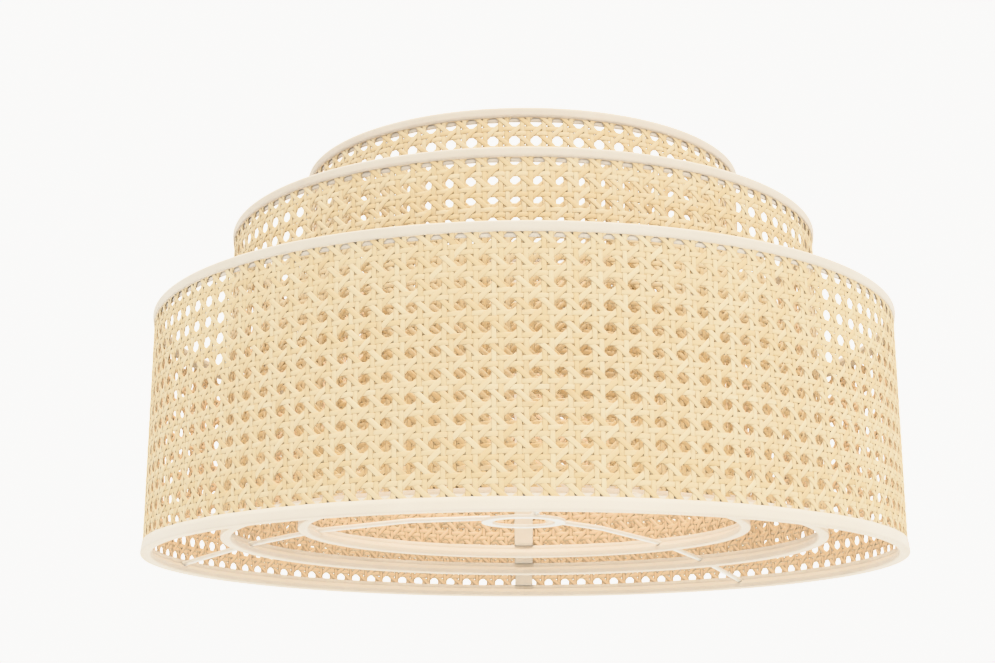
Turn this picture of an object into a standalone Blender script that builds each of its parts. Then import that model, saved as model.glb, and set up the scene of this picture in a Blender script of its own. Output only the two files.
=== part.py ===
"""Three-tier lamp shade: three nested drums of cane webbing on one wire spider.

Each drum is a strip of webbing rolled up and joined at the back over a cotton strip. A wire ring lies
against the webbing's inside at its top and bottom edge, and a folded cotton tape covers each edge. Three
wire arms run out from the flat fitter ring, over the bottom rings of the inner and middle drums, to the
bottom ring of the outer drum. Metres, +Z up, the origin under the shade's centre at its lowest edge.
"""

from math import atan2, cos, pi, radians, sin

import bmesh
import bpy
from mathutils import Matrix, Vector

# Drums: the webbing's outside radius, the height of the lower taped edge, and the height edge to edge.
OUTER_RADIUS = 0.250
OUTER_HEIGHT = 0.158
MIDDLE_RADIUS = 0.200
MIDDLE_RISE = 0.0125
MIDDLE_HEIGHT = 0.2072
INNER_RADIUS = 0.150
INNER_RISE = 0.0205
INNER_HEIGHT = 0.2440

# Materials as they are bought.
CANE_THICKNESS = 0.0018
RING_WIRE = 0.0030
ARM_WIRE = 0.0034
TAPE_THICKNESS = 0.0006

# Edge tapes: how far each leg reaches from the drum's edge.
TOP_TAPE_OUTSIDE = 0.0060
TOP_TAPE_INSIDE = 0.0088
BOTTOM_TAPE_OUTSIDE = 0.0076
BOTTOM_TAPE_INSIDE = 0.0088
# Past the wire the inner leg leans back onto the webbing: height gained for each unit across.
TAPE_LEAN = 0.6

# The strip over the webbing's butt joint, and the joint's own gap.
SEAM_ANGLE = radians(90)
SEAM_GAP = 0.0006
SEAM_STRIP_WIDTH = 0.014
SEAM_STRIP_THICKNESS = 0.0006
SEAM_STRIP_CLEARANCE = 0.0006
SEAM_STRIP_STEPS = 4

# Fitter ring for an E27 lampholder.
FITTER_BORE_RADIUS = 0.0210
FITTER_OUTSIDE_RADIUS = 0.0285
FITTER_THICKNESS = 0.0020
FITTER_HEIGHT = 0.0270

# Spider arms.
ARM_ANGLES = {"spider_arm_right": 47, "spider_arm_left": 167, "spider_arm_front": 287}
ARM_OVERLAP_ON_FITTER = 0.0055
ARM_BEND_RADIUS = 0.080
ARM_BEND_LENGTH = 0.012
ARM_BEND_DROP = 0.0003
ARM_TIP_CLEARANCE = 0.0010

GAP = 0.0003
WELD_GAP = 0.0005
NOTCH_CLEARANCE = 0.0004
CUTTER_OVERLAP = 0.002

ROUND_STEPS = 64
WIRE_SIDES = 6
ARM_SIDES = 8


def clear_scene():
    for old in list(bpy.data.objects):
        bpy.data.objects.remove(old, do_unlink=True)


def make_material(name, colour, roughness, metallic=0.0):
    material = bpy.data.materials.new(name)
    material.use_nodes = True
    shader = material.node_tree.nodes["Principled BSDF"]
    shader.inputs["Base Color"].default_value = (*colour, 1.0)
    shader.inputs["Roughness"].default_value = roughness
    shader.inputs["Metallic"].default_value = metallic
    return material


def add_object(name, mesh_maker, material, crease=35):
    """One named object whose mesh is built by mesh_maker in a bmesh."""
    shape = bmesh.new()
    mesh_maker(shape)
    bmesh.ops.recalc_face_normals(shape, faces=shape.faces)
    mesh = bpy.data.meshes.new(name)
    shape.to_mesh(mesh)
    shape.free()
    mesh.shade_smooth()
    mesh.set_sharp_from_angle(angle=radians(crease))
    mesh.materials.append(material)
    made = bpy.data.objects.new(name, mesh)
    bpy.context.collection.objects.link(made)
    return made


def turned_point(radius, height, angle):
    return Vector((radius * cos(angle), radius * sin(angle), height))


def turn_profile(shape, profile, steps, start=0.0, sweep=2 * pi):
    """Turns a closed profile of (radius, height) points about Z, with flat ends if it isn't a whole turn."""
    whole = abs(sweep - 2 * pi) < 1e-9
    stations = steps if whole else steps + 1
    rings = []
    for index in range(stations):
        angle = start + sweep * index / steps
        rings.append([shape.verts.new(turned_point(r, z, angle)) for r, z in profile])
    count = len(profile)
    for index in range(steps):
        here, there = rings[index], rings[(index + 1) % stations]
        for side in range(count):
            after = (side + 1) % count
            shape.faces.new((here[side], here[after], there[after], there[side]))
    if not whole:
        shape.faces.new(rings[0])
        shape.faces.new(rings[-1])


class Drum:
    """The sizes of one drum's pieces, all worked out from its radius, its lower edge and its height."""

    def __init__(self, name, radius, rise, height):
        self.name = name
        self.radius = radius
        self.bottom = rise
        self.top = rise + height
        self.cane_inside = radius - CANE_THICKNESS
        self.wire_circle = self.cane_inside - GAP - RING_WIRE / 2
        self.wire_inset = TAPE_THICKNESS + GAP + RING_WIRE / 2
        self.tape_outside = radius + GAP + TAPE_THICKNESS
        self.tape_round_wire = self.wire_circle - RING_WIRE / 2 - GAP
        self.tape_on_cane = self.cane_inside - GAP

    def arm_height(self, slope):
        """The arm's centre where it crosses this drum's bottom ring, lying on the wire."""
        over = (RING_WIRE / 2 + WELD_GAP + ARM_WIRE / 2) / cos(slope)
        return self.bottom + self.wire_inset + over

    def tape_profile(self, edge, up, outside, inside):
        """The folded tape: up is +1 where the legs point up from the edge, and -1 where they hang down."""
        past_wire = TAPE_THICKNESS + GAP + RING_WIRE + GAP
        lean_end = past_wire + (self.tape_on_cane - self.tape_round_wire) * TAPE_LEAN
        fold = TAPE_THICKNESS * 0.4
        rows = [
            (self.tape_outside, outside),
            (self.radius + GAP, outside),
            (self.radius + GAP, TAPE_THICKNESS),
            (self.tape_round_wire, TAPE_THICKNESS),
            (self.tape_round_wire, past_wire),
            (self.tape_on_cane, lean_end),
            (self.tape_on_cane, inside),
            (self.tape_on_cane - TAPE_THICKNESS, inside),
            (self.tape_on_cane - TAPE_THICKNESS, lean_end + fold),
            (self.tape_round_wire - TAPE_THICKNESS, past_wire + fold),
            (self.tape_round_wire - TAPE_THICKNESS, 0.0),
            (self.tape_outside, 0.0),
        ]
        return [(radius, edge + up * depth) for radius, depth in rows]


DRUMS = [
    Drum("outer", OUTER_RADIUS, 0.0, OUTER_HEIGHT),
    Drum("middle", MIDDLE_RADIUS, MIDDLE_RISE, MIDDLE_HEIGHT),
    Drum("inner", INNER_RADIUS, INNER_RISE, INNER_HEIGHT),
]


def make_panel(drum, material):
    """The rolled webbing, a tube that isn't quite closed: its two ends meet at the back with a thin gap."""
    low = drum.bottom + TAPE_THICKNESS + GAP
    high = drum.top - TAPE_THICKNESS - GAP
    profile = [(drum.radius, low), (drum.radius, high), (drum.cane_inside, high), (drum.cane_inside, low)]
    half_gap = SEAM_GAP / 2 / drum.radius
    sweep = 2 * pi - 2 * half_gap

    def build(shape):
        turn_profile(shape, profile, ROUND_STEPS, SEAM_ANGLE + half_gap, sweep)

    return add_object(f"{drum.name}_cane_panel", build, material)


def make_seam_strip(drum, material):
    """The cotton strip inside the webbing's joint, between the two edge tapes."""
    low = drum.bottom + BOTTOM_TAPE_INSIDE + GAP
    high = drum.top - TOP_TAPE_INSIDE - GAP
    outside = drum.cane_inside - SEAM_STRIP_CLEARANCE
    inside = outside - SEAM_STRIP_THICKNESS
    profile = [(outside, low), (outside, high), (inside, high), (inside, low)]
    spread = SEAM_STRIP_WIDTH / drum.radius

    def build(shape):
        turn_profile(shape, profile, SEAM_STRIP_STEPS, SEAM_ANGLE - spread / 2, spread)

    return add_object(f"{drum.name}_seam_strip", build, material)


def make_ring(drum, edge_name, height, material):
    profile = []
    for side in range(WIRE_SIDES):
        turn = 2 * pi * side / WIRE_SIDES
        radius = drum.wire_circle + RING_WIRE / 2 * cos(turn)
        profile.append((radius, height + RING_WIRE / 2 * sin(turn)))

    def build(shape):
        turn_profile(shape, profile, ROUND_STEPS)

    return add_object(f"{drum.name}_{edge_name}_wire_ring", build, material, crease=80)


def make_tape(drum, edge_name, profile, material):
    def build(shape):
        turn_profile(shape, profile, ROUND_STEPS)

    return add_object(f"{drum.name}_{edge_name}_tape", build, material)


def make_fitter(material):
    low = FITTER_HEIGHT
    high = FITTER_HEIGHT + FITTER_THICKNESS
    inside, outside = FITTER_BORE_RADIUS, FITTER_OUTSIDE_RADIUS

    def build(shape):
        turn_profile(shape, [(outside, low), (outside, high), (inside, high), (inside, low)], ROUND_STEPS)

    return add_object("fitter_ring", build, material)


def arm_route():
    """(radius, height) along an arm's centre, from the fitter ring out to the outer drum's ring wire."""
    level = FITTER_HEIGHT + FITTER_THICKNESS + WELD_GAP + ARM_WIRE / 2
    crossings = []
    before = (ARM_BEND_RADIUS, level)
    for drum in reversed(DRUMS):
        slope = 0.0
        for _ in range(3):
            height = drum.arm_height(slope)
            slope = atan2(before[1] - height, drum.wire_circle - before[0])
        before = (drum.wire_circle, drum.arm_height(slope))
        crossings.append(before)
    start = (FITTER_OUTSIDE_RADIUS - ARM_OVERLAP_ON_FITTER, level)
    (near_radius, near_height), (last_radius, last_height) = crossings[-2:]
    fall = (near_height - last_height) / (last_radius - near_radius)
    past_wire = DRUMS[0].cane_inside - ARM_TIP_CLEARANCE - last_radius
    tip = (last_radius + past_wire, last_height - fall * past_wire)
    bend = [(ARM_BEND_RADIUS - ARM_BEND_LENGTH, level), (ARM_BEND_RADIUS, level - ARM_BEND_DROP)]
    return [start, *bend, *crossings, tip]


def height_on_route(route, radius):
    for (r0, z0), (r1, z1) in zip(route, route[1:]):
        if r0 <= radius <= r1:
            return z0 + (z1 - z0) * (radius - r0) / (r1 - r0)
    return route[-1][1]


def make_arm(name, angle, route, material):
    """A straight-running wire bent in the upright plane at angle, with flat ends."""

    def build(shape):
        rings = []
        for index, (radius, height) in enumerate(route):
            before = route[max(index - 1, 0)]
            after = route[min(index + 1, len(route) - 1)]
            slope = atan2(after[1] - before[1], after[0] - before[0])
            ring = []
            for side in range(ARM_SIDES):
                turn = 2 * pi * (side + 0.5) / ARM_SIDES
                sideways = ARM_WIRE / 2 * cos(turn)
                lift = ARM_WIRE / 2 * sin(turn)
                ring.append(shape.verts.new((radius - lift * sin(slope), sideways, height + lift * cos(slope))))
            rings.append(ring)
        for here, there in zip(rings, rings[1:]):
            for side in range(ARM_SIDES):
                after = (side + 1) % ARM_SIDES
                shape.faces.new((here[side], here[after], there[after], there[side]))
        shape.faces.new(rings[0])
        shape.faces.new(rings[-1])

    arm = add_object(name, build, material, crease=60)
    arm.rotation_euler = (0.0, 0.0, angle)
    return arm


def make_notch_cutter(name, angle, near, far, low, high):
    """A box across one drum's wall where an arm passes. It is hidden, and only cuts."""
    half_width = ARM_WIRE / 2 + NOTCH_CLEARANCE

    def build(shape):
        bmesh.ops.create_cube(shape, size=1.0)
        size = Matrix.Diagonal((far - near, 2 * half_width, high - low, 1.0))
        centre = Matrix.Translation(((near + far) / 2, 0.0, (low + high) / 2))
        bmesh.ops.transform(shape, matrix=centre @ size, verts=shape.verts)

    cutter = add_object(name, build, None)
    cutter.rotation_euler = (0.0, 0.0, angle)
    cutter.hide_render = True
    cutter.display_type = "WIRE"
    return cutter


def cut(target, cutter):
    modifier = target.modifiers.new(cutter.name, "BOOLEAN")
    modifier.operation = "DIFFERENCE"
    modifier.solver = "EXACT"
    modifier.object = cutter


def notch_for_arm(drum, panel, tape, arm_name, angle, route, is_last):
    """Slits the bottom tape for an arm, and notches the webbing too where the arm goes on through it."""
    wall = ARM_WIRE / 2 + NOTCH_CLEARANCE
    near = drum.tape_round_wire - TAPE_THICKNESS - CUTTER_OVERLAP
    far = drum.cane_inside - GAP / 2 if is_last else drum.tape_outside + CUTTER_OVERLAP
    lowest = height_on_route(route, min(drum.tape_outside, far)) - wall
    highest = height_on_route(route, near) + wall
    tape_top = drum.bottom + max(BOTTOM_TAPE_INSIDE, BOTTOM_TAPE_OUTSIDE) + CUTTER_OVERLAP
    cut(tape, make_notch_cutter(f"cutter_{drum.name}_tape_{arm_name}", angle, near, far, lowest, tape_top))
    if is_last:
        return
    below = drum.bottom - CUTTER_OVERLAP
    start = drum.wire_circle
    cut(panel, make_notch_cutter(f"cutter_{drum.name}_cane_{arm_name}", angle, start, far, below, highest))


def build_shade():
    clear_scene()
    cane = make_material("cane_webbing", (0.86, 0.74, 0.50), 0.55)
    cotton = make_material("cotton_tape", (0.86, 0.82, 0.74), 0.90)
    ring_steel = make_material("ring_wire_white", (0.85, 0.84, 0.80), 0.40)
    spider_steel = make_material("spider_white", (0.86, 0.85, 0.82), 0.35)

    route = arm_route()
    for name, degrees in ARM_ANGLES.items():
        make_arm(name, radians(degrees), route, spider_steel)
    make_fitter(spider_steel)
    for drum in DRUMS:
        panel = make_panel(drum, cane)
        make_seam_strip(drum, cotton)
        make_ring(drum, "top", drum.top - drum.wire_inset, ring_steel)
        make_ring(drum, "bottom", drum.bottom + drum.wire_inset, ring_steel)
        top = drum.tape_profile(drum.top, -1, TOP_TAPE_OUTSIDE, TOP_TAPE_INSIDE)
        make_tape(drum, "top", top, cotton)
        bottom = drum.tape_profile(drum.bottom, 1, BOTTOM_TAPE_OUTSIDE, BOTTOM_TAPE_INSIDE)
        bottom_tape = make_tape(drum, "bottom", bottom, cotton)
        for name, degrees in ARM_ANGLES.items():
            is_last = drum is DRUMS[0]
            notch_for_arm(drum, panel, bottom_tape, name, radians(degrees), route, is_last)


build_shade()
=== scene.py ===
"""Looks of the three-tier cane lamp shade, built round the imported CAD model.

Each drum is woven here strand by strand from six-way cane webbing: pairs of uprights, pairs of rounds, and
two families of diagonals that pass over and under them. The folded edge tapes, the wires, the spider and
the cotton strips over the webbing's joints are fine meshes on the places that the CAD nodes give. The glue
in the tapes and the weld beads on the fitter ring are added to them.

Round a drum, a place is (along, height, out): the distance round the webbing from the front, +X being
ahead, the height, and how far it stands outside the middle of the webbing's thickness. Metres throughout.
"""

from math import cos, pi, radians, sin

import bpy
import numpy as np
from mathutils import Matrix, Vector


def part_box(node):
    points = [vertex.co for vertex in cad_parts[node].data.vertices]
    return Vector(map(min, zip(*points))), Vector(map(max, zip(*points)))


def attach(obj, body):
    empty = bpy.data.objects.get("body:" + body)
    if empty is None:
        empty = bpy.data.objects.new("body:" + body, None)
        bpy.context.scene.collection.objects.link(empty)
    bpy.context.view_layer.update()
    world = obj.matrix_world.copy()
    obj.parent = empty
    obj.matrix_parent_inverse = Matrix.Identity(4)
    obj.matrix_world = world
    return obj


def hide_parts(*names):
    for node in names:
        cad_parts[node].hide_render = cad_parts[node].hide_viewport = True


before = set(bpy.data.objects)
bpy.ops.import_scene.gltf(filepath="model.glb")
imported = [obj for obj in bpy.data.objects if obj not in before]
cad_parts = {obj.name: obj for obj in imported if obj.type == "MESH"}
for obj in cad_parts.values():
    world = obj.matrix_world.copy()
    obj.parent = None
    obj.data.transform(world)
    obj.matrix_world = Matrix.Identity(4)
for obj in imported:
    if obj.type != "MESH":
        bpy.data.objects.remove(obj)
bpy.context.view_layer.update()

# Webbing: the drum's own numbers are its holes round it, the height of the lowest row of holes above its
# lower edge, and how far round the first pair of uprights is from the front, in radians.
WEBBING = {
    "outer": {"holes_round": 116, "first_holes": 0.0110, "turn": 0.0},
    "middle": {"holes_round": 94, "first_holes": 0.0108, "turn": 0.0148},
    "inner": {"holes_round": 70, "first_holes": 0.0097, "turn": 0.0133},
}
STATIONS_PER_HOLE = {"outer": 10, "middle": 8, "inner": 8}
ROW_PITCH = 0.01253
WEBBING_THICKNESS = 0.0018
PAIR_SPREAD_UPRIGHT = 0.140
PAIR_SPREAD_ROUND = 0.132
UPRIGHT_WIDTH = 0.00310
ROUND_WIDTH = 0.00310
DIAGONAL_WIDTH = 0.00312
STRAND_THICKNESS = 0.00048
PAIR_WAVE = 0.00027
DIAGONAL_WAVE = 0.00042
STRAND_WANDER = 0.00009
WANDER_RATES = (0.9, 2.1, 4.3)
WANDER_OF_WHOLE_STRAND = 0.6
THICKNESS_RANGE = (0.9, 1.1)
WIDTH_RANGE = (0.95, 1.04)
FLATNESS_OVER_ROUNDS = 2.2
FLATNESS_OVER_PAIRS = 2.0
SHORTEST_DIAGONAL_ROWS = 0.2
JOINT_GAP = 0.0003
# A strand's section, as shares of its width and thickness: a crowned shiny side and a flatter back.
STRAND_SECTION = np.array(
    [(-0.50, -0.10), (-0.33, 0.36), (0.0, 0.50), (0.33, 0.36), (0.50, -0.10), (0.0, -0.50)]
)

# Tapes.
TAPE_THICKNESS = 0.0006
TAPE_CLEARANCE = 0.0003
TAPE_PRESS = 0.0004
EDGE_PRESS = 0.0008
INNER_PRESS = 0.0006
TOP_TAPE_OUTSIDE = 0.0060
TOP_TAPE_INSIDE = 0.0088
BOTTOM_TAPE_OUTSIDE = 0.0076
BOTTOM_TAPE_INSIDE = 0.0094
TAPE_STATIONS = 720
TAPE_LAP_LENGTH = 0.016
# Where the fold bends: the pressed place as a share of the outside leg, the depth at which the outside leg
# starts, how far the wire's side is tucked in, and the share of the step to the webbing taken in leaning.
PRESSED_SHARE = 0.66
FOLD_DEPTH = 0.0014
WIRE_TUCK = 0.0004
LEAN_SHARE = 0.5
FOLD_ROUNDINGS = (0.004, 0.004, 0.0007, 0.0013, 0.0012, 0.0012)
OUTER_EDGE_WANDER = 0.00016
INNER_EDGE_WANDER = 0.00035
PAIR_RIPPLE = 0.00006
CLOTH_RIPPLE = 0.00005
GLUE_DEPTH = 0.0020
GLUE_SAG = 0.00015

# Cotton strips behind the webbing's joints.
STRIP_CLEARANCE = 0.0005
STRIP_WAVE = 0.00018
STRIP_EDGE_WAVE = 0.00025

# Wires.
RING_WIRE = 0.0030
ARM_WIRE = 0.0034
ARM_ANGLES = {"spider_arm_right": 47, "spider_arm_left": 167, "spider_arm_front": 287}
ARM_OVERLAP_ON_FITTER = 0.0055
ARM_BEND_RADIUS = 0.080
ARM_BEND_ROUNDING = 0.060
ARM_TIP_CLEARANCE = 0.0010
WELD_GAP = 0.0005
SLIT_ROOM = 0.0007
FITTER_BORE_RADIUS = 0.0210
FITTER_EDGE_ROUNDING = 0.0004
DOME_START = 0.12
DOME_STEPS = 6
ARM_DOME = 0.0005
SLIT_DOME = 0.0003
BEAD_HALF_LENGTH = 0.0030
BEAD_HALF_WIDTH = 0.0032
BEAD_HALF_HEIGHT = 0.0011
BEAD_LIFT = 0.0005
BEAD_LUMPS = 0.07

# Colours.
STRAW_DARK = (0.815, 0.660, 0.420)
STRAW_LIGHT = (0.885, 0.775, 0.570)
STRAW_PATCHES = (0.785, 0.605, 0.360)
STRAW_STREAKS = (0.680, 0.490, 0.260)
STRAW_JOINTS = (0.580, 0.400, 0.200)
# The strands' inner side: partly the cane's own back, partly painted warm glow of light inside the shade.
STRAW_BACK_AND_PAINTED_GLOW = (0.950, 0.715, 0.500)
COTTON_SOILED = (0.785, 0.725, 0.640)
COTTON_CLEAN = (0.835, 0.780, 0.700)
# Painted shade in the hollows between the tape's threads.
COTTON_PAINTED_SHADE_IN_HOLLOWS = (0.660, 0.590, 0.490)
THREAD_PITCHES = {"X": 0.00052, "Y": 0.00044}
GLUE_DARK = (0.780, 0.660, 0.520)
GLUE_LIGHT = (0.860, 0.770, 0.640)
POWDER_COAT = ((0.86, 0.85, 0.82), (0.80, 0.79, 0.75))
RING_PAINT = ((0.82, 0.81, 0.77), (0.75, 0.73, 0.68))

# Camera and room.
CAMERA_PLACE = (0.0, -1.0752, -0.1170)
CAMERA_TILT = 14.455
CAMERA_TURN = 0.937
CAMERA_LENS = 57.9
FLOOR_HEIGHT = -1.2
FLOOR_SIZE = 120.0
FLOOR_COLOUR = (0.86, 0.855, 0.84)
WALLS_LIGHT = 1.05
WALLS_SEEN = 1.75
LIGHTS = {
    "overhead": {"place": (0.0, -0.4, 2.6), "target": (0, 0, 0), "size": 1.6, "power": 85},
    "at_right": {"place": (2.6, -2.2, 1.3), "target": (0, 0, 0.1), "size": 2.6, "power": 26},
}


def random_numbers(name):
    """A generator of its own for each piece, so that a change to one piece leaves the others alone."""
    return np.random.default_rng([ord(letter) for letter in name])


class Drum:
    """Places round one drum, read from its CAD nodes."""

    def __init__(self, name):
        webbing = WEBBING[name]
        low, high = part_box(f"{name}_cane_panel")
        self.name = name
        self.radius = (high[0] - low[0]) / 2
        self.cane_low, self.cane_high = low[2], high[2]
        self.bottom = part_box(f"{name}_bottom_tape")[0][2]
        self.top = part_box(f"{name}_top_tape")[1][2]
        self.middle = self.radius - WEBBING_THICKNESS / 2
        self.cane_inside = self.radius - WEBBING_THICKNESS
        self.wire_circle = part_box(f"{name}_bottom_wire_ring")[1][0] - RING_WIRE / 2
        self.wire_low = self.wire_height("bottom")
        self.wire_high = self.wire_height("top")
        self.holes_round = webbing["holes_round"]
        self.pitch = 2 * pi * self.radius / self.holes_round
        self.first_pair = webbing["turn"] * self.radius
        self.first_holes = self.bottom + webbing["first_holes"]
        self.stations = STATIONS_PER_HOLE[name]
        self.half_turn = pi * self.radius - JOINT_GAP

    def wire_height(self, edge):
        low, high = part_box(f"{self.name}_{edge}_wire_ring")
        return (low[2] + high[2]) / 2

    def columns(self, along):
        """Columns of holes from the front: whole numbers at the middles of holes, halves at the pairs."""
        return (along - self.first_pair) / self.pitch + 0.5

    def along(self, column):
        return (column - 0.5) * self.pitch + self.first_pair

    def rows(self, height):
        return (height - self.first_holes) / ROW_PITCH

    def height(self, row):
        return self.first_holes + row * ROW_PITCH

    def place(self, along, height, out):
        return turned(self.middle + out, along / self.radius, height)


DRUMS = [Drum(name) for name in WEBBING]


# --- meshes from arrays -------------------------------------------------------------------------------


def make_object(name, points, quads, material, uv=None, fibre=None, tone=None):
    """A smooth-shaded object of quads, with an optional map and the strands' own coordinates."""
    mesh = bpy.data.meshes.new(name)
    mesh.vertices.add(len(points))
    mesh.vertices.foreach_set("co", np.asarray(points, np.float32).ravel())
    mesh.loops.add(quads.size)
    mesh.loops.foreach_set("vertex_index", quads.astype(np.int32).ravel())
    mesh.polygons.add(len(quads))
    mesh.polygons.foreach_set("loop_start", np.arange(0, quads.size, 4, dtype=np.int32))
    mesh.update(calc_edges=True)
    if uv is not None:
        map_name, corners = uv
        layer = mesh.uv_layers.new(name=map_name)
        layer.data.foreach_set("uv", np.asarray(corners, np.float32).ravel())
    if fibre is not None:
        attribute = mesh.attributes.new("fibre", "FLOAT_VECTOR", "POINT")
        attribute.data.foreach_set("vector", np.asarray(fibre, np.float32).ravel())
    if tone is not None:
        attribute = mesh.attributes.new("tone", "FLOAT", "POINT")
        attribute.data.foreach_set("value", np.asarray(tone, np.float32).ravel())
    mesh.shade_smooth()
    mesh.materials.append(material)
    made = bpy.data.objects.new(name, mesh)
    bpy.context.scene.collection.objects.link(made)
    return made


def finish_piece(made, slot, *nodes):
    """Rides the piece on the shade, in place of its CAD nodes."""
    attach(made, "root")
    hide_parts(*nodes)
    return made


def ring_quads(rings, sides, closed):
    """Quads between neighbouring rings of points, numbered ring by ring."""
    ring = np.arange(rings if closed else rings - 1)[:, None]
    side = np.arange(sides)[None, :]
    here, there = ring * sides, (ring + 1) % rings * sides
    after = (side + 1) % sides
    return np.stack([here + side, here + after, there + after, there + side], axis=-1).reshape(-1, 4)


def closed_quads(rings, sides):
    """Quads between neighbouring rings of an even number of points, with rows of quads over both ends."""
    quads = list(ring_quads(rings, sides, False))
    for first, flip in ((0, True), ((rings - 1) * sides, False)):
        for side in range(1, sides // 2):
            face = [first + index for index in (side - 1, side, sides - 1 - side, sides - side)]
            quads.append(face[::-1] if flip else face)
    return np.array(quads)


def turned(reach, angles, heights):
    """Points at a distance from the axis, an angle round it from the front, and a height."""
    return np.stack([reach * np.sin(angles), -reach * np.cos(angles), heights + 0 * angles], axis=-1)


# --- webbing ------------------------------------------------------------------------------------------


def soft_square(phase, flatness):
    """A wave between -1 and 1 with flattened tops, as a stiff strand takes over and under others."""
    return np.tanh(flatness * phase) / np.tanh(flatness)


def over_rounds(row):
    return soft_square(np.sin(2 * pi * row), FLATNESS_OVER_ROUNDS)


def over_pairs(column):
    return soft_square(np.cos(2 * pi * (column - 0.5)), FLATNESS_OVER_PAIRS)


class Strand:
    """One strand's stations: places along its middle, and the direction across it in the webbing."""

    def __init__(self, along, height, out, across, width):
        self.along = along
        self.height = height
        self.out = out
        self.across = across
        self.width = width


def wander(numbers, count, stations):
    """Small slow sideways wandering of a hand-woven strand."""
    steps = np.linspace(0, count, stations)
    phases = numbers.uniform(0, 2 * pi, len(WANDER_RATES))
    waves = sum(np.sin(steps * rate + phase) for rate, phase in zip(WANDER_RATES, phases))
    return STRAND_WANDER * (waves / 2 + numbers.normal(0, WANDER_OF_WHOLE_STRAND))


def arm_places(drum):
    """How far round the webbing from the front each arm passes."""
    return [radians((degrees + 270) % 360 - 180) * drum.radius for degrees in ARM_ANGLES.values()]


def lowest_by_arms(drum, along):
    """Where a strand that comes down over an arm has to stop."""
    if drum is DRUMS[0]:
        return drum.cane_low
    for arm in arm_places(drum):
        if abs(along - arm) < ARM_WIRE / 2 + UPRIGHT_WIDTH:
            return arm_height(drum) + ARM_WIRE / 2 + TAPE_THICKNESS
    return drum.cane_low


def arm_height(drum):
    """The arms' middle where they lie on a drum's lower ring."""
    return drum.wire_low + RING_WIRE / 2 + WELD_GAP + ARM_WIRE / 2


def make_uprights(drum, numbers):
    strands = []
    for pair in range(-drum.holes_round // 2 - 1, drum.holes_round // 2 + 2):
        for side in (-1, 1):
            along = drum.along(pair + 0.5 + side * PAIR_SPREAD_UPRIGHT)
            if abs(along) > drum.half_turn - UPRIGHT_WIDTH / 2:
                continue
            low = lowest_by_arms(drum, along)
            first, last = drum.rows(low), drum.rows(drum.cane_high)
            count = int((last - first) * drum.stations) + 2
            rows = np.linspace(first, last, count)
            out = side * PAIR_WAVE * over_rounds(rows)
            sway = wander(numbers, last - first, count)
            strands.append(Strand(along + sway, drum.height(rows), out, (1.0, 0.0), UPRIGHT_WIDTH))
    return strands


def round_spans(drum, height):
    """The parts of a round that aren't cut through by an arm."""
    spans = [(-drum.half_turn, drum.half_turn)]
    if drum is DRUMS[0] or abs(height - arm_height(drum)) > (ARM_WIRE + ROUND_WIDTH) / 2:
        return spans
    room = ARM_WIRE / 2 + TAPE_THICKNESS
    for arm in arm_places(drum):
        cut = []
        for start, end in spans:
            if start < arm < end:
                cut += [(start, arm - room), (arm + room, end)]
            else:
                cut.append((start, end))
        spans = cut
    return spans


def make_rounds(drum, numbers):
    strands = []
    last_row = int(drum.rows(drum.cane_high)) + 1
    for row in range(-1, last_row + 1):
        for side in (-1, 1):
            height = drum.height(row + 0.5 + side * PAIR_SPREAD_ROUND)
            if not drum.cane_low + ROUND_WIDTH / 2 < height < drum.cane_high - ROUND_WIDTH / 2:
                continue
            for start, end in round_spans(drum, height):
                first, last = drum.columns(start), drum.columns(end)
                count = int((last - first) * drum.stations) + 2
                columns = np.linspace(first, last, count)
                out = -side * PAIR_WAVE * over_rounds(columns)
                sway = wander(numbers, last - first, count)
                strands.append(Strand(drum.along(columns), height + sway, out, (0.0, 1.0), ROUND_WIDTH))
    return strands


def make_diagonals(drum, numbers, lean):
    """One family of diagonals. With lean 1 they climb towards +X at the front, and with -1 away from it."""
    strands = []
    rows_high = drum.rows(drum.cane_high)
    slope = np.array([lean * drum.pitch, ROW_PITCH])
    slope /= np.linalg.norm(slope)
    across = (slope[1], -slope[0])
    room = DIAGONAL_WIDTH / 2 / drum.pitch
    leftmost = drum.columns(-drum.half_turn) + room
    rightmost = drum.columns(drum.half_turn) - room
    reach = int(rows_high) + 3
    for index in range(-drum.holes_round // 2 - reach, drum.holes_round // 2 + reach):
        first = drum.rows(lowest_by_arms(drum, drum.along(index + 0.5 + lean * drum.rows(drum.cane_low))))
        last = rows_high
        ends = sorted(lean * (edge - index - 0.5) for edge in (leftmost, rightmost))
        first, last = max(first, ends[0]), min(last, ends[1])
        if last - first < SHORTEST_DIAGONAL_ROWS:
            continue
        count = int((last - first) * drum.stations) + 2
        rows = np.linspace(first, last, count)
        columns = index + 0.5 + lean * rows
        out = -lean * DIAGONAL_WAVE * over_pairs(columns)
        sway = wander(numbers, last - first, count)
        along = drum.along(columns) + sway * across[0]
        strands.append(Strand(along, drum.height(rows) + sway * across[1], out, across, DIAGONAL_WIDTH))
    return strands


def strand_map(counts, stations_per_band=60):
    """Map corners for strands laid in bands, each side of the section in a row of its own."""
    sides = len(STRAND_SECTION)
    steps = np.arange(sum(counts))
    bands = steps[-1] // stations_per_band + 1
    columns = max(1, int(round((bands * 0.17) ** 0.5)))
    lines = -(-bands // columns)
    band, local = steps // stations_per_band, steps % stations_per_band
    left = (band % columns + local / stations_per_band) / columns
    right = (band % columns + (local + 1) / stations_per_band) / columns
    base = band // columns
    side = np.arange(sides)
    low = (base[:, None] + side * 0.92 / sides) / lines
    high = (base[:, None] + (side + 1) * 0.92 / sides) / lines
    left, right = (np.repeat(edge[:, None], sides, axis=1) for edge in (left, right))
    corners = [np.stack(pair, -1) for pair in ((left, low), (left, high), (right, high), (right, low))]
    return np.stack(corners, axis=2).reshape(-1, 4, 2)


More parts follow.
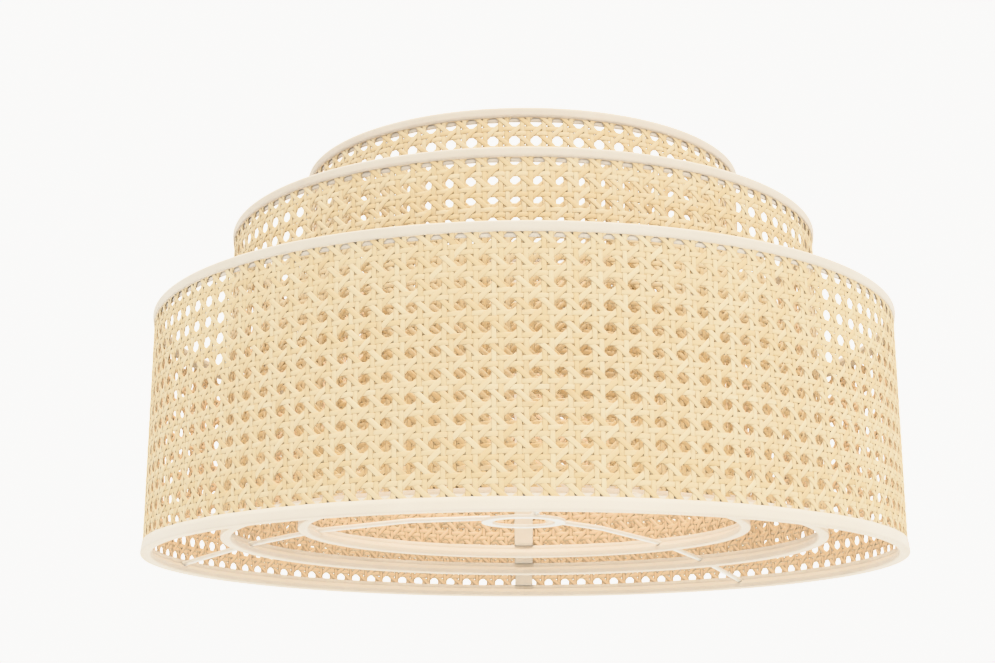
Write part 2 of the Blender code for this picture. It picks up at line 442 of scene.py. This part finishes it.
def weave(name, drum, strands, material, numbers):
    """One object of many strands, each a tube of quads with closed ends."""
    sides = len(STRAND_SECTION)
    points, quads, fibres, tones, counts = [], [], [], [], []
    first_point = 0
    caps, cap_steps = [], []
    step = 0
    for strand in strands:
        count = len(strand.height)
        thickness = STRAND_THICKNESS * numbers.uniform(*THICKNESS_RANGE)
        width = strand.width * numbers.uniform(*WIDTH_RANGE)
        across = STRAND_SECTION[:, 0] * width
        out = STRAND_SECTION[:, 1] * thickness
        along = strand.along + np.zeros(count)
        height = strand.height + np.zeros(count)
        spots = drum.place(
            along[:, None] + across * strand.across[0],
            height[:, None] + across * strand.across[1],
            strand.out[:, None] + out,
        )
        points.append(spots.reshape(-1, 3))
        quads.append(ring_quads(count, sides, False) + first_point)
        last = first_point + (count - 1) * sides
        caps += [(first_point, first_point + 3, first_point + 2, first_point + 1)]
        caps += [(first_point, first_point + 5, first_point + 4, first_point + 3)]
        caps += [(last, last + 1, last + 2, last + 3), (last, last + 3, last + 4, last + 5)]
        cap_steps += [step, step, step + count - 2, step + count - 2]
        steps = np.hypot(np.diff(along), np.diff(height))
        distance = np.concatenate([[0.0], np.cumsum(steps)]) + numbers.uniform(0, 50)
        fibre = np.zeros((count, sides, 3))
        fibre[..., 0] = distance[:, None]
        fibre[..., 1] = across
        fibre[..., 2] = out
        fibres.append(fibre.reshape(-1, 3))
        tones.append(np.full(count * sides, numbers.uniform(0, 1)))
        counts.append(count - 1)
        first_point += count * sides
        step += count - 1
    uv = strand_map(counts)
    cap_uv = uv[np.array(cap_steps) * sides]
    made = make_object(
        name,
        np.concatenate(points),
        np.concatenate(quads + [np.array(caps)]),
        material,
        uv=("OFBake", np.concatenate([uv, cap_uv])),
        fibre=np.concatenate(fibres),
        tone=np.concatenate(tones),
    )
    return finish_piece(made, "cane", f"{drum.name}_cane_panel")


def make_webbing(drum, material):
    uprights = make_uprights(drum, random_numbers(f"{drum.name} uprights"))
    rounds = make_rounds(drum, random_numbers(f"{drum.name} rounds"))
    groups = {
        "uprights_left": uprights[: len(uprights) // 2],
        "uprights_right": uprights[len(uprights) // 2:],
        "rounds_lower": rounds[: len(rounds) // 2],
        "rounds_upper": rounds[len(rounds) // 2:],
        "diagonals_rising": make_diagonals(drum, random_numbers(f"{drum.name} rising"), 1),
        "diagonals_falling": make_diagonals(drum, random_numbers(f"{drum.name} falling"), -1),
    }
    for label, strands in groups.items():
        name = f"{drum.name}_cane_{label}"
        weave(name, drum, strands, material, random_numbers(name))


# --- tapes --------------------------------------------------------------------------------------------


def rounded_path(corners, roundings, steps=6):
    """A path of straight runs with an arc of the given radius at each inner corner."""
    corners = [np.array(corner, float) for corner in corners]
    path = [corners[0]]
    for before, corner, after, radius in zip(corners, corners[1:], corners[2:], roundings):
        come = (before - corner) / np.linalg.norm(before - corner)
        go = (after - corner) / np.linalg.norm(after - corner)
        half = np.arccos(np.clip(come @ go, -1, 1)) / 2
        reach = radius / np.tan(half)
        reach = min(reach, np.linalg.norm(before - corner) * 0.48, np.linalg.norm(after - corner) * 0.48)
        start, end = corner + come * reach, corner + go * reach
        for step in range(steps + 1):
            share = step / steps
            path.append((1 - share) ** 2 * start + 2 * share * (1 - share) * corner + share ** 2 * end)
    path.append(corners[-1])
    return np.array(path)


def thickened(path, thickness):
    """The closed outline of a sheet folded along a path."""
    ahead = np.gradient(path, axis=0)
    ahead /= np.linalg.norm(ahead, axis=1)[:, None]
    aside = np.stack([-ahead[:, 1], ahead[:, 0]], axis=1) * thickness / 2
    return np.concatenate([path + aside, (path - aside)[::-1]])


def tape_path(drum, outside, inside):
    """The folded tape's middle line as (radius, depth from the drum's edge)."""
    half = TAPE_THICKNESS / 2
    out = drum.radius + TAPE_CLEARANCE + half
    pressed_out = out - TAPE_PRESS
    glued = out - EDGE_PRESS
    round_wire = drum.wire_circle - RING_WIRE / 2 - TAPE_CLEARANCE - half
    on_cane = drum.cane_inside - TAPE_CLEARANCE - half + INNER_PRESS
    past_wire = TAPE_THICKNESS + RING_WIRE + 2 * TAPE_CLEARANCE
    lean_end = past_wire + (on_cane - round_wire) * LEAN_SHARE
    corners = [
        (glued, outside),
        (pressed_out, outside * PRESSED_SHARE),
        (out, FOLD_DEPTH),
        (out, half),
        (round_wire, half),
        (round_wire, past_wire - WIRE_TUCK),
        (on_cane, lean_end),
        (on_cane, inside),
    ]
    return rounded_path(corners, FOLD_ROUNDINGS)


def periodic_noise(numbers, angles, rates):
    """A smooth wave that closes on itself round the drum, about -1 to 1."""
    total = np.zeros_like(angles)
    for rate in rates:
        total += numbers.uniform(0.5, 1.0) * np.sin(rate * angles + numbers.uniform(0, 2 * pi))
    return total / len(rates) ** 0.5


def make_tape(drum, edge, material):
    is_top = edge == "top"
    outside = TOP_TAPE_OUTSIDE if is_top else BOTTOM_TAPE_OUTSIDE
    inside = TOP_TAPE_INSIDE if is_top else BOTTOM_TAPE_INSIDE
    name = f"{drum.name}_{edge}_tape"
    numbers = random_numbers(name)
    outline = thickened(tape_path(drum, outside, inside), TAPE_THICKNESS)
    count = len(outline)
    angles = np.linspace(-pi, pi, TAPE_STATIONS, endpoint=False)
    radius = np.repeat(outline[None, :, 0], TAPE_STATIONS, axis=0)
    depth = np.repeat(outline[None, :, 1], TAPE_STATIONS, axis=0)

    # The legs' free edges wander, and the webbing's pairs show through the outer leg.
    outer_leg = np.clip((outline[:, 1] - 0.001) / outside, 0, 1) * (outline[:, 0] > drum.radius)
    inner_leg = np.clip((outline[:, 1] - 0.004) / inside, 0, 1) * (outline[:, 0] < drum.radius)
    edge_wander = OUTER_EDGE_WANDER * periodic_noise(numbers, angles, (7, 19, 41, 83))
    inner_wander = INNER_EDGE_WANDER * periodic_noise(numbers, angles, (5, 13, 29, 61))
    depth += edge_wander[:, None] * outer_leg + inner_wander[:, None] * inner_leg
    columns = drum.columns(angles * drum.radius)
    ripple = PAIR_RIPPLE * np.cos(2 * pi * (columns - 0.5))
    ripple += CLOTH_RIPPLE * periodic_noise(numbers, angles, (31, 57, 97))
    radius += ripple[:, None] * outer_leg

    # The tape's end laps over its start at the back.
    behind = (np.mod(angles + 0.3, 2 * pi) - pi - 0.3) * drum.radius
    lap = np.clip(behind / 0.002 + 0.5, 0, 1) * np.clip((TAPE_LAP_LENGTH - behind) / 0.006, 0, 1)
    radius += (lap * TAPE_THICKNESS * 0.55)[:, None] * np.clip(outer_leg * 6, 0, 1)

    heights = drum.top - depth if is_top else drum.bottom + depth
    points = turned(radius, angles[:, None], heights).reshape(-1, 3)
    quads = ring_quads(TAPE_STATIONS, count, True)
    if is_top:
        quads = quads[:, ::-1]

    # A map in metres for the cloth's weave: along the tape, and across it round the outline.
    around = np.concatenate([[0.0], np.cumsum(np.hypot(*np.diff(outline, axis=0).T))])
    around = np.append(around, around[-1] + TAPE_THICKNESS)
    station = np.arange(TAPE_STATIONS)[:, None]
    side = np.arange(count)[None, :]
    step = 2 * pi * drum.radius / TAPE_STATIONS
    left, right = station * step + 0.0 * side, (station + 1) * step + 0.0 * side
    low, high = around[side] + 0.0 * station, around[side + 1] + 0.0 * station
    pairs = ((left, low), (left, high), (right, high), (right, low))
    corners = np.stack([np.stack(pair, -1) for pair in pairs], axis=2).reshape(-1, 4, 2)
    if is_top:
        corners = corners[:, ::-1]
    made = make_object(name + "_cloth", points, quads, material, uv=("weave", corners))
    finish_piece(made, "cotton", name)
    width = float(around[count // 2])
    return made, width


def make_glue_line(drum, edge, material):
    """The dried glue inside the fold, which closes it where the webbing's holes open into it."""
    is_top = edge == "top"
    leg = TOP_TAPE_OUTSIDE if is_top else BOTTOM_TAPE_OUTSIDE
    name = f"{drum.name}_{edge}_glue_line"
    numbers = random_numbers(name)
    outside = drum.radius + TAPE_CLEARANCE - TAPE_PRESS - 0.0001
    inside = drum.cane_inside - TAPE_CLEARANCE + INNER_PRESS + 0.0001
    deep = leg - GLUE_DEPTH
    corners = [(outside, leg - 0.0003), (outside, deep), (inside, deep), (inside, leg - 0.0001)]
    middle = [(outside * (1 - share) + inside * share, leg + 0.0002) for share in (0.75, 0.5, 0.25)]
    outline = np.array(corners + middle)
    angles = np.linspace(-pi, pi, TAPE_STATIONS, endpoint=False)
    sag = GLUE_SAG * periodic_noise(numbers, angles, (37, 71, 113))
    free = np.array([0.3, 0.0, 0.0, 0.3, 1.0, 1.0, 1.0])
    depth = outline[None, :, 1] + sag[:, None] * free
    heights = drum.top - depth if is_top else drum.bottom + depth
    points = turned(outline[None, :, 0], angles[:, None], heights).reshape(-1, 3)
    quads = ring_quads(TAPE_STATIONS, len(outline), True)
    if is_top:
        quads = quads[:, ::-1]
    made = make_object(name, points, quads, material)
    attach(made, "root")
    return made


def make_slits(tape, arms):
    """Opens a tape where the arms pass, with a little room round each."""
    for cutter in arms:
        cut = tape.modifiers.new("slit", "BOOLEAN")
        cut.operation = "DIFFERENCE"
        cut.solver = "EXACT"
        cut.object = cutter
    bpy.context.view_layer.update()
    graph = bpy.context.evaluated_depsgraph_get()
    mesh = bpy.data.meshes.new_from_object(tape.evaluated_get(graph), depsgraph=graph)
    tape.modifiers.clear()
    old = tape.data
    tape.data = mesh
    bpy.data.meshes.remove(old)


def make_seam_strip(drum, material):
    """The cotton strip inside the webbing's joint at the back."""
    name = f"{drum.name}_seam_strip"
    low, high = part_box(name)
    outside = drum.cane_inside - STRIP_CLEARANCE
    half = (high[0] - low[0]) / 2
    numbers = random_numbers(name)
    rows, columns = 90, 16
    up = np.linspace(low[2], high[2], rows)
    share = np.linspace(-1, 1, columns)
    wave = STRIP_WAVE * np.sin(up * 95 + numbers.uniform(0, 6))[:, None] * np.cos(share * 1.7)
    edge = STRIP_EDGE_WAVE * np.sin(up * 130 + numbers.uniform(0, 6))[:, None] * share
    turn = pi + (share * half + edge) / outside
    near = outside - TAPE_THICKNESS - np.abs(wave)
    far = outside - np.abs(wave)
    front, back = (turned(radius, turn, up[:, None]) for radius in (far, near))
    outline = np.concatenate([front, back[:, ::-1]], axis=1)
    sides = columns * 2
    quads = list(ring_quads(rows, sides, False))
    for ring, flip in ((0, False), (rows - 1, True)):
        for column in range(columns - 1):
            face = [column, sides - 1 - column, sides - 2 - column, column + 1]
            face = [ring * sides + index for index in face]
            quads.append(face[::-1] if flip else face)
    quads = np.array(quads)
    flat = np.stack([turn * outside, up[:, None] + 0 * turn], axis=-1)
    flat = np.concatenate([flat, flat[:, ::-1]], axis=1).reshape(-1, 2)
    made = make_object(name + "_cloth", outline.reshape(-1, 3), quads, material, uv=("weave", flat[quads]))
    finish_piece(made, "cotton", name)


# --- wires --------------------------------------------------------------------------------------------


def make_ring(name, radius, height, material):
    stations, sides = 240, 14
    turns = np.linspace(0, 2 * pi, stations, endpoint=False)[:, None]
    around = np.linspace(0, 2 * pi, sides, endpoint=False)[None, :]
    reach = radius + RING_WIRE / 2 * np.cos(around)
    lift = height + RING_WIRE / 2 * np.sin(around) + 0 * turns
    points = np.stack([reach * np.cos(turns), reach * np.sin(turns), lift], axis=-1).reshape(-1, 3)
    made = make_object(name + "_wire", points, ring_quads(stations, sides, True)[:, ::-1], material)
    finish_piece(made, "ring_wire", name)


def arm_route():
    """The arms' middle line as (radius, height): level off the fitter, then down over the three rings."""
    fitter_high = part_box("fitter_ring")[1]
    level = fitter_high[2] + WELD_GAP + ARM_WIRE / 2
    start = fitter_high[0] - ARM_OVERLAP_ON_FITTER
    rests = [(drum.wire_circle, arm_height(drum)) for drum in reversed(DRUMS)]
    (near_radius, near_height), (far_radius, far_height) = rests[-2:]
    fall = (near_height - far_height) / (far_radius - near_radius)
    tip_radius = DRUMS[0].cane_inside - ARM_TIP_CLEARANCE
    tip = (tip_radius, far_height - fall * (tip_radius - far_radius))
    corners = [(start, level), (ARM_BEND_RADIUS, level), *rests[:2], tip]
    return rounded_path(corners, [ARM_BEND_ROUNDING] * 3, steps=16)


def on_spoke(reach, aside, heights, angle):
    """Points at a distance along a spoke of the given angle, a distance beside it, and a height."""
    ahead = reach * cos(angle) - aside * sin(angle)
    across = reach * sin(angle) + aside * cos(angle)
    return np.stack([ahead, across, heights], axis=-1).reshape(-1, 3)


def tube(route, radius, sides, angle, ends):
    """Points and quads of a wire along a (radius, height) route, with domed ends of the given length."""
    path = np.array(route)
    ahead = np.gradient(path, axis=0)
    ahead /= np.linalg.norm(ahead, axis=1)[:, None]
    turns = np.linspace(DOME_START, pi / 2, DOME_STEPS)
    dome = np.sin(turns)
    depth = ends * (1 - np.cos(turns))[:, None]
    start = path[0] + ahead[0] * depth
    finish = path[-1] - ahead[-1] * depth[::-1]
    from_start = np.linalg.norm(path - path[0], axis=1)
    from_finish = np.linalg.norm(path - path[-1], axis=1)
    middle = path[(from_start > ends) & (from_finish > ends)]
    line = np.concatenate([start, middle, finish])
    sizes = np.concatenate([dome, np.ones(len(middle)), dome[::-1]]) * radius
    ahead = np.gradient(line, axis=0)
    ahead /= np.linalg.norm(ahead, axis=1)[:, None]
    around = np.linspace(0, 2 * pi, sides, endpoint=False)[None, :]
    aside = sizes[:, None] * np.cos(around)
    lift = sizes[:, None] * np.sin(around)
    reach = line[:, 0, None] - lift * ahead[:, 1, None]
    height = line[:, 1, None] + lift * ahead[:, 0, None]
    points = on_spoke(reach, aside, height, angle)
    return points, closed_quads(len(line), sides)


def make_arm(name, degrees, route, material):
    points, quads = tube(route, ARM_WIRE / 2, 18, radians(degrees), ARM_DOME)
    made = make_object(name + "_wire", points, quads[:, ::-1], material)
    return finish_piece(made, "spider", name)


def make_cutter(name, degrees, route, material):
    """The room that an arm needs through a tape. It isn't part of the object and is deleted after use."""
    points, quads = tube(route, ARM_WIRE / 2 + SLIT_ROOM, 12, radians(degrees), SLIT_DOME)
    return make_object("slit_" + name, points, quads[:, ::-1], material)


def make_fitter(material):
    low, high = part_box("fitter_ring")
    outside = high[0]
    edge = FITTER_EDGE_ROUNDING
    corners = [
        (FITTER_BORE_RADIUS + edge * 2, low[2]),
        (FITTER_BORE_RADIUS, low[2]),
        (FITTER_BORE_RADIUS, high[2]),
        (outside, high[2]),
        (outside, low[2]),
        (FITTER_BORE_RADIUS + edge * 2, low[2]),
    ]
    outline = rounded_path(corners, [edge] * 4, steps=4)[:-1]
    stations = 160
    turns = np.linspace(0, 2 * pi, stations, endpoint=False)[:, None]
    reach = outline[None, :, 0]
    lift = outline[None, :, 1] + 0 * turns
    points = np.stack([reach * np.cos(turns), reach * np.sin(turns), lift], axis=-1).reshape(-1, 3)
    made = make_object("fitter_ring_plate", points, ring_quads(stations, len(outline), True), material)
    finish_piece(made, "spider", "fitter_ring")


def make_weld_bead(name, degrees, material):
    """The flattened bead that joins an arm to the fitter ring."""
    rows, sides = 9, 20
    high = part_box("fitter_ring")[1]
    numbers = random_numbers(name)
    centre = high[0] - ARM_OVERLAP_ON_FITTER * 0.45
    rise = np.linspace(0.06, pi - 0.06, rows)[:, None]
    around = np.linspace(0, 2 * pi, sides, endpoint=False)[None, :]
    lumps = 1 + BEAD_LUMPS * np.sin(3 * around + numbers.uniform(0, 6)) * np.sin(rise)
    ahead = BEAD_HALF_LENGTH * np.sin(rise) * np.cos(around) * lumps
    aside = BEAD_HALF_WIDTH * np.sin(rise) * np.sin(around) * lumps
    lift = high[2] + BEAD_LIFT - BEAD_HALF_HEIGHT * np.cos(rise) + 0 * around
    points = on_spoke(centre + ahead, aside, lift, radians(degrees))
    made = make_object(name, points, closed_quads(rows, sides)[:, ::-1], material)
    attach(made, "root")


# --- materials ----------------------------------------------------------------------------------------


class Nodes:
    """Short calls for building one material's node tree."""

    def __init__(self, name):
        self.material = bpy.data.materials.new(name)
        self.material.use_nodes = True
        self.tree = self.material.node_tree
        self.shader = self.tree.nodes["Principled BSDF"]

    def add(self, kind, **settings):
        node = self.tree.nodes.new(kind)
        for name, value in settings.items():
            setattr(node, name, value)
        return node

    def link(self, source, target):
        self.tree.links.new(source, target)

    def attribute(self, name):
        return self.add("ShaderNodeAttribute", attribute_name=name)

    def scaled(self, vector, scale):
        node = self.add("ShaderNodeVectorMath", operation="MULTIPLY")
        self.link(vector, node.inputs[0])
        node.inputs[1].default_value = scale
        return node.outputs[0]

    def noise(self, vector, scale, detail=2.0, roughness=0.5):
        node = self.add("ShaderNodeTexNoise")
        node.inputs["Scale"].default_value = scale
        node.inputs["Detail"].default_value = detail
        node.inputs["Roughness"].default_value = roughness
        self.link(vector, node.inputs["Vector"])
        return node.outputs["Fac"]

    def ranged(self, value, low, high, out_low=0.0, out_high=1.0):
        node = self.add("ShaderNodeMapRange")
        self.link(value, node.inputs["Value"])
        limits = {"From Min": low, "From Max": high, "To Min": out_low, "To Max": out_high}
        for label, number in limits.items():
            node.inputs[label].default_value = number
        return node.outputs["Result"]

    def maths(self, operation, first, second):
        node = self.add("ShaderNodeMath", operation=operation)
        for socket, value in zip(node.inputs, (first, second)):
            if isinstance(value, (int, float)):
                socket.default_value = value
            else:
                self.link(value, socket)
        return node.outputs[0]

    def mixed(self, share, first, second, blend="MIX"):
        node = self.add("ShaderNodeMix", data_type="RGBA", blend_type=blend)
        sockets = {"Factor": share, "A": first, "B": second}
        inputs = {"Factor": node.inputs[0], "A": node.inputs[6], "B": node.inputs[7]}
        for label, value in sockets.items():
            if isinstance(value, tuple):
                inputs[label].default_value = (*value, 1.0)
            elif isinstance(value, (int, float)):
                inputs[label].default_value = value
            else:
                self.link(value, inputs[label])
        return node.outputs[2]

    def bump(self, height, strength, distance):
        node = self.add("ShaderNodeBump")
        node.inputs["Strength"].default_value = strength
        node.inputs["Distance"].default_value = distance
        self.link(height, node.inputs["Height"])
        self.link(node.outputs["Normal"], self.shader.inputs["Normal"])


def make_cane():
    """Peeled rattan: a pale straw skin with long fibres, darker here and there, and a duller back painted
    paler and warmer: partly the cane's own back, partly painted glow of light inside the shade.
    """
    nodes = Nodes("cane_strands")
    fibre = nodes.attribute("fibre").outputs["Vector"]
    tone = nodes.attribute("tone").outputs["Fac"]
    streaks = nodes.noise(nodes.scaled(fibre, (45.0, 5200.0, 900.0)), 1.0, 3.0, 0.6)
    patches = nodes.noise(nodes.scaled(fibre, (38.0, 260.0, 0.0)), 1.0, 2.0)
    joints = nodes.ranged(nodes.noise(nodes.scaled(fibre, (26.0, 30.0, 0.0)), 1.0, 0.0), 0.69, 0.76)
    skin = nodes.mixed(tone, STRAW_DARK, STRAW_LIGHT)
    skin = nodes.mixed(nodes.ranged(patches, 0.35, 0.75, 0.0, 0.45), skin, STRAW_PATCHES)
    skin = nodes.mixed(nodes.ranged(streaks, 0.52, 0.80, 0.0, 0.40), skin, STRAW_STREAKS)
    skin = nodes.mixed(nodes.maths("MULTIPLY", joints, 0.35), skin, STRAW_JOINTS)
    split = nodes.add("ShaderNodeSeparateXYZ")
    nodes.link(fibre, split.inputs[0])
    # The strands' inner side is painted paler and warmer: partly the cane's own back, partly painted glow
    # of light inside the shade.
    back = nodes.ranged(split.outputs["Z"], -0.00002, -0.00016)
    skin = nodes.mixed(nodes.maths("MULTIPLY", back, 0.85), skin, STRAW_BACK_AND_PAINTED_GLOW)
    nodes.link(skin, nodes.shader.inputs["Base Color"])
    rough = nodes.ranged(streaks, 0.2, 0.8, 0.40, 0.58)
    nodes.link(rough, nodes.shader.inputs["Roughness"])
    nodes.shader.inputs["Specular IOR Level"].default_value = 0.45
    nodes.bump(streaks, 0.35, 0.00009)
    return nodes.material


def make_cotton():
    """White plain-weave tape, thread by thread, a little soiled and uneven, with painted shade in the
    hollows between the threads.
    """
    nodes = Nodes("cotton_tape")
    where = nodes.add("ShaderNodeUVMap", uv_map="weave").outputs["UV"]
    split = nodes.add("ShaderNodeSeparateXYZ")
    nodes.link(where, split.inputs[0])
    threads = []
    for axis, pitch in THREAD_PITCHES.items():
        turns = nodes.maths("MULTIPLY", split.outputs[axis], 2 * pi / pitch)
        threads.append(nodes.maths("SINE", turns, 0.0))
    crossing = nodes.maths("MULTIPLY", threads[0], threads[1])
    slubs = nodes.noise(nodes.scaled(where, (210.0, 2600.0, 0.0)), 1.0, 2.0)
    weave_height = nodes.maths("ADD", nodes.maths("MULTIPLY", crossing, 0.5), slubs)
    stains = nodes.noise(nodes.scaled(where, (22.0, 60.0, 0.0)), 1.0, 3.0)
    cloth = nodes.mixed(nodes.ranged(stains, 0.35, 0.70), COTTON_SOILED, COTTON_CLEAN)
    # The low places of the weave are painted darker: painted shade between the threads.
    cloth = nodes.mixed(nodes.ranged(weave_height, 0.10, 0.75, 0.28, 0.0), cloth, COTTON_PAINTED_SHADE_IN_HOLLOWS)
    nodes.link(cloth, nodes.shader.inputs["Base Color"])
    nodes.link(nodes.ranged(slubs, 0.3, 0.7, 0.78, 0.92), nodes.shader.inputs["Roughness"])
    nodes.shader.inputs["Sheen Weight"].default_value = 0.25
    nodes.shader.inputs["Sheen Roughness"].default_value = 0.5
    nodes.bump(weave_height, 0.45, 0.00008)
    return nodes.material


def make_painted(name, colour, shade):
    """White powder coat on steel wire: a fine orange-peel skin and faint patches."""
    nodes = Nodes(name)
    where = nodes.add("ShaderNodeTexCoord").outputs["Object"]
    peel = nodes.noise(where, 2600.0, 2.0)
    patches = nodes.noise(where, 90.0, 3.0)
    paint = nodes.mixed(nodes.ranged(patches, 0.35, 0.70), colour, shade)
    nodes.link(paint, nodes.shader.inputs["Base Color"])
    nodes.link(nodes.ranged(patches, 0.3, 0.7, 0.36, 0.50), nodes.shader.inputs["Roughness"])
    nodes.bump(peel, 0.18, 0.00006)
    return nodes.material


def make_glue():
    """Glue dried over cane and cloth: light brown and uneven."""
    nodes = Nodes("dried_glue")
    where = nodes.add("ShaderNodeTexCoord").outputs["Object"]
    patches = nodes.noise(where, 260.0, 3.0)
    skin = nodes.mixed(nodes.ranged(patches, 0.35, 0.70), GLUE_DARK, GLUE_LIGHT)
    nodes.link(skin, nodes.shader.inputs["Base Color"])
    nodes.link(nodes.ranged(patches, 0.3, 0.7, 0.45, 0.60), nodes.shader.inputs["Roughness"])
    nodes.bump(patches, 0.3, 0.0001)
    return nodes.material


def make_plain(name, colour, roughness):
    nodes = Nodes(name)
    nodes.shader.inputs["Base Color"].default_value = (*colour, 1.0)
    nodes.shader.inputs["Roughness"].default_value = roughness
    return nodes.material


# --- camera, floor and light --------------------------------------------------------------------------


def make_camera():
    """A little below the shade's lower edge, looking up into it."""
    data = bpy.data.cameras.new("camera")
    data.lens = CAMERA_LENS
    data.sensor_width = 36.0
    camera = bpy.data.objects.new("camera", data)
    camera.location = CAMERA_PLACE
    camera.rotation_euler = (radians(90 + CAMERA_TILT), 0.0, radians(CAMERA_TURN))
    bpy.context.scene.collection.objects.link(camera)
    bpy.context.scene.camera = camera


def make_floor():
    half = FLOOR_SIZE / 2
    corners = ((-half, -half), (half, -half), (half, half), (-half, half))
    points = np.array([(*corner, FLOOR_HEIGHT) for corner in corners])
    paint = make_plain("floor_paint", FLOOR_COLOUR, 0.9)
    floor = make_object("floor", points, np.array([[0, 1, 2, 3]]), paint)


def make_light(name, place, target, size, power):
    data = bpy.data.lights.new(name, "AREA")
    data.shape = "DISK"
    data.size = size
    data.energy = power
    lamp = bpy.data.objects.new(name, data)
    lamp.location = place
    toward = np.array(target) - np.array(place)
    flat = np.hypot(toward[0], toward[1])
    lamp.rotation_euler = (np.arctan2(flat, -toward[2]), 0.0, np.arctan2(toward[1], toward[0]) - pi / 2)
    lamp.visible_camera = False
    bpy.context.scene.collection.objects.link(lamp)


def make_world(strength, backdrop):
    """White studio walls: they light the shade less than they shine behind it."""
    world = bpy.data.worlds.new("studio")
    world.use_nodes = True
    tree = world.node_tree
    background = tree.nodes["Background"]
    background.inputs["Color"].default_value = (1.0, 0.995, 0.985, 1.0)
    seen = tree.nodes.new("ShaderNodeLightPath")
    level = tree.nodes.new("ShaderNodeMapRange")
    level.inputs["To Min"].default_value = strength
    level.inputs["To Max"].default_value = backdrop
    tree.links.new(seen.outputs["Is Camera Ray"], level.inputs["Value"])
    tree.links.new(level.outputs["Result"], background.inputs["Strength"])
    bpy.context.scene.world = world


# --- the shade ----------------------------------------------------------------------------------------

make_camera()
make_floor()
bpy.context.scene.view_settings.view_transform = "Khronos PBR Neutral"
make_world(WALLS_LIGHT, WALLS_SEEN)
for name, light in LIGHTS.items():
    make_light(name, **light)

cane = make_cane()
cotton = make_cotton()
painted = make_painted("white_powder_coat", *POWDER_COAT)
glue = make_glue()
ring_paint = make_painted("ring_paint", *RING_PAINT)

route = arm_route()
cutters = []
for arm, degrees in ARM_ANGLES.items():
    make_arm(arm, degrees, route, painted)
    make_weld_bead(arm.replace("spider_arm", "weld_bead"), degrees, painted)
    cutters.append(make_cutter(arm, degrees, route, painted))
make_fitter(painted)

for drum in DRUMS:
    make_webbing(drum, cane)
    make_seam_strip(drum, cotton)
    for edge, height in (("top", drum.wire_high), ("bottom", drum.wire_low)):
        make_ring(f"{drum.name}_{edge}_wire_ring", drum.wire_circle, height, ring_paint)
        tape, width = make_tape(drum, edge, cotton)
        glue_line = make_glue_line(drum, edge, glue)
        if edge == "bottom":
            make_slits(tape, cutters)
            make_slits(glue_line, cutters)

for cutter in cutters:
    bpy.data.objects.remove(cutter, do_unlink=True)
